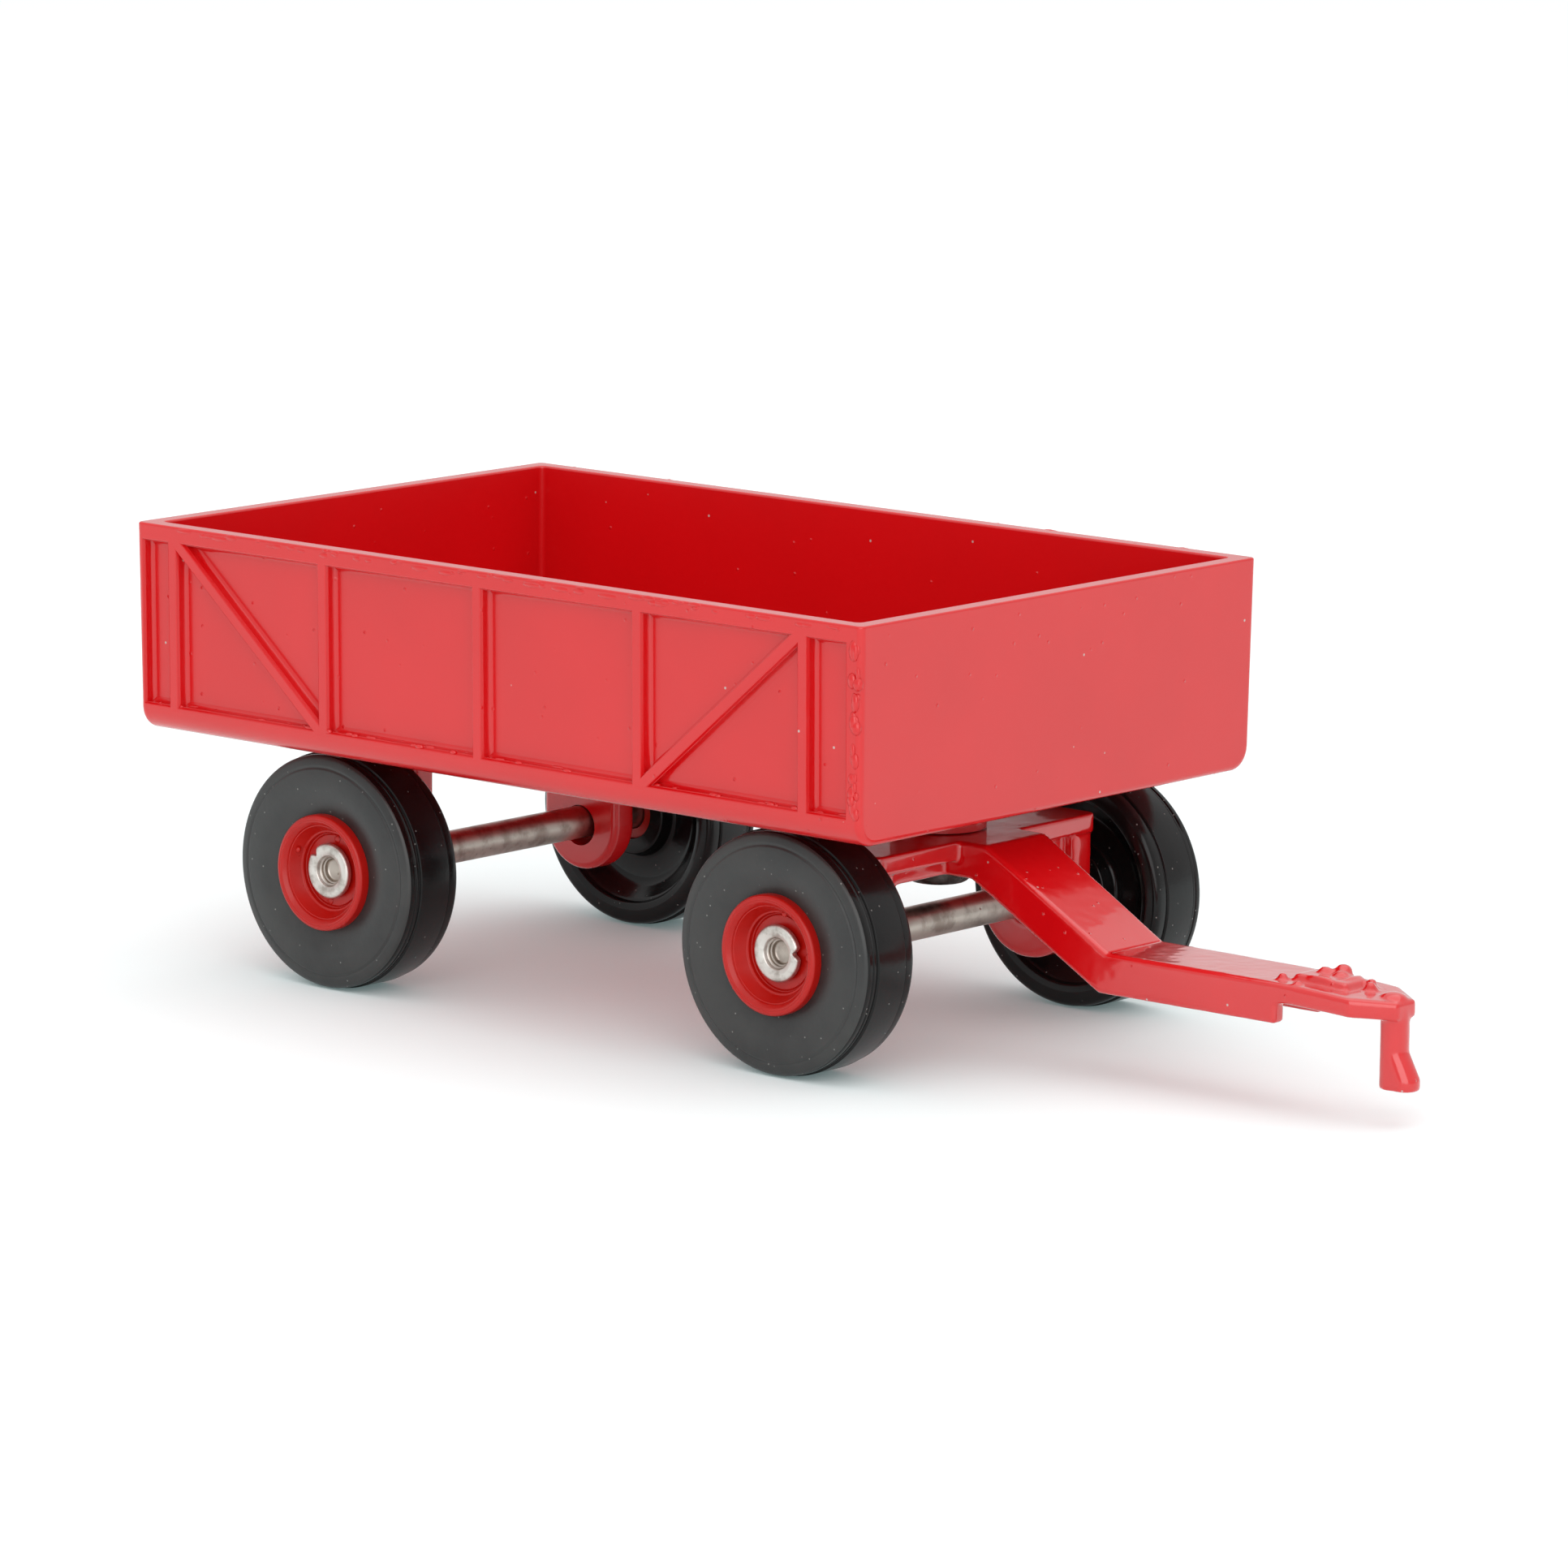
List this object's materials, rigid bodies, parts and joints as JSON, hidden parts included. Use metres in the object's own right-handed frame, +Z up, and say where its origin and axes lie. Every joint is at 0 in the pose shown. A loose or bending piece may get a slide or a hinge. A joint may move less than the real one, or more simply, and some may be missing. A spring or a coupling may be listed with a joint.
{
  "type": "toy farm wagon",
  "caption": "Die-cast toy farm wagon with an open ribbed box, a drawbar steered by a kingpin rivet, and free wheels on rolled rivet axles",
  "frame": {"origin": "on the ground under the middle of the wagon's whole length, hitch included, on its centre plane", "axes": "+X forward to the hitch, +Y the wagon's left, +Z up"},
  "size_m": [0.0942, 0.0408, 0.0312],
  "materials": {
    "box_enamel": "glossy red enamel on a zinc casting",
    "drawbar_enamel": "glossy red enamel on a zinc casting",
    "rivet_steel": "dark plain steel",
    "axle_steel": "plated steel rod with bright rolled ends",
    "tyre_plastic": "moulded black with a matt side wall",
    "hub_plastic": "moulded red plastic"
  },
  "bodies": {
    "wagon": {"wagon_box": "box_enamel", "kingpin": "rivet_steel"},
    "drawbar": {"drawbar": "drawbar_enamel"},
    "front_axle": {"front_axle": "axle_steel"},
    "rear_axle": {"rear_axle": "axle_steel"},
    "front_left_wheel": {"front_left_tyre": "tyre_plastic", "front_left_hub": "hub_plastic"},
    "front_right_wheel": {"front_right_tyre": "tyre_plastic", "front_right_hub": "hub_plastic"},
    "rear_left_wheel": {"rear_left_tyre": "tyre_plastic", "rear_left_hub": "hub_plastic"},
    "rear_right_wheel": {"rear_right_tyre": "tyre_plastic", "rear_right_hub": "hub_plastic"}
  },
  "joints": [
    {"name": "drawbar_swivel", "type": "hinge", "parent": "wagon", "child": "drawbar", "pos_m": [0.00752, 0, 0.01685], "axis": [0, 0, 1], "range_deg": [-90, 90]},
    {"name": "front_axle_turn", "type": "hinge", "parent": "drawbar", "child": "front_axle", "pos_m": [0.00752, 0, 0.00815], "axis": [0, 1, 0], "continuous": true},
    {"name": "rear_axle_turn", "type": "hinge", "parent": "wagon", "child": "rear_axle", "pos_m": [-0.03297, 0, 0.00815], "axis": [0, 1, 0], "continuous": true},
    {"name": "front_left_wheel_turn", "type": "hinge", "parent": "front_axle", "child": "front_left_wheel", "pos_m": [0.00752, 0.0159, 0.00815], "axis": [0, 1, 0], "continuous": true},
    {"name": "front_right_wheel_turn", "type": "hinge", "parent": "front_axle", "child": "front_right_wheel", "pos_m": [0.00752, -0.0144, 0.00815], "axis": [0, 1, 0], "continuous": true},
    {"name": "rear_left_wheel_turn", "type": "hinge", "parent": "rear_axle", "child": "rear_left_wheel", "pos_m": [-0.03297, 0.01665, 0.00815], "axis": [0, 1, 0], "continuous": true},
    {"name": "rear_right_wheel_turn", "type": "hinge", "parent": "rear_axle", "child": "rear_right_wheel", "pos_m": [-0.03297, -0.01425, 0.00815], "axis": [0, 1, 0], "continuous": true}
  ]
}
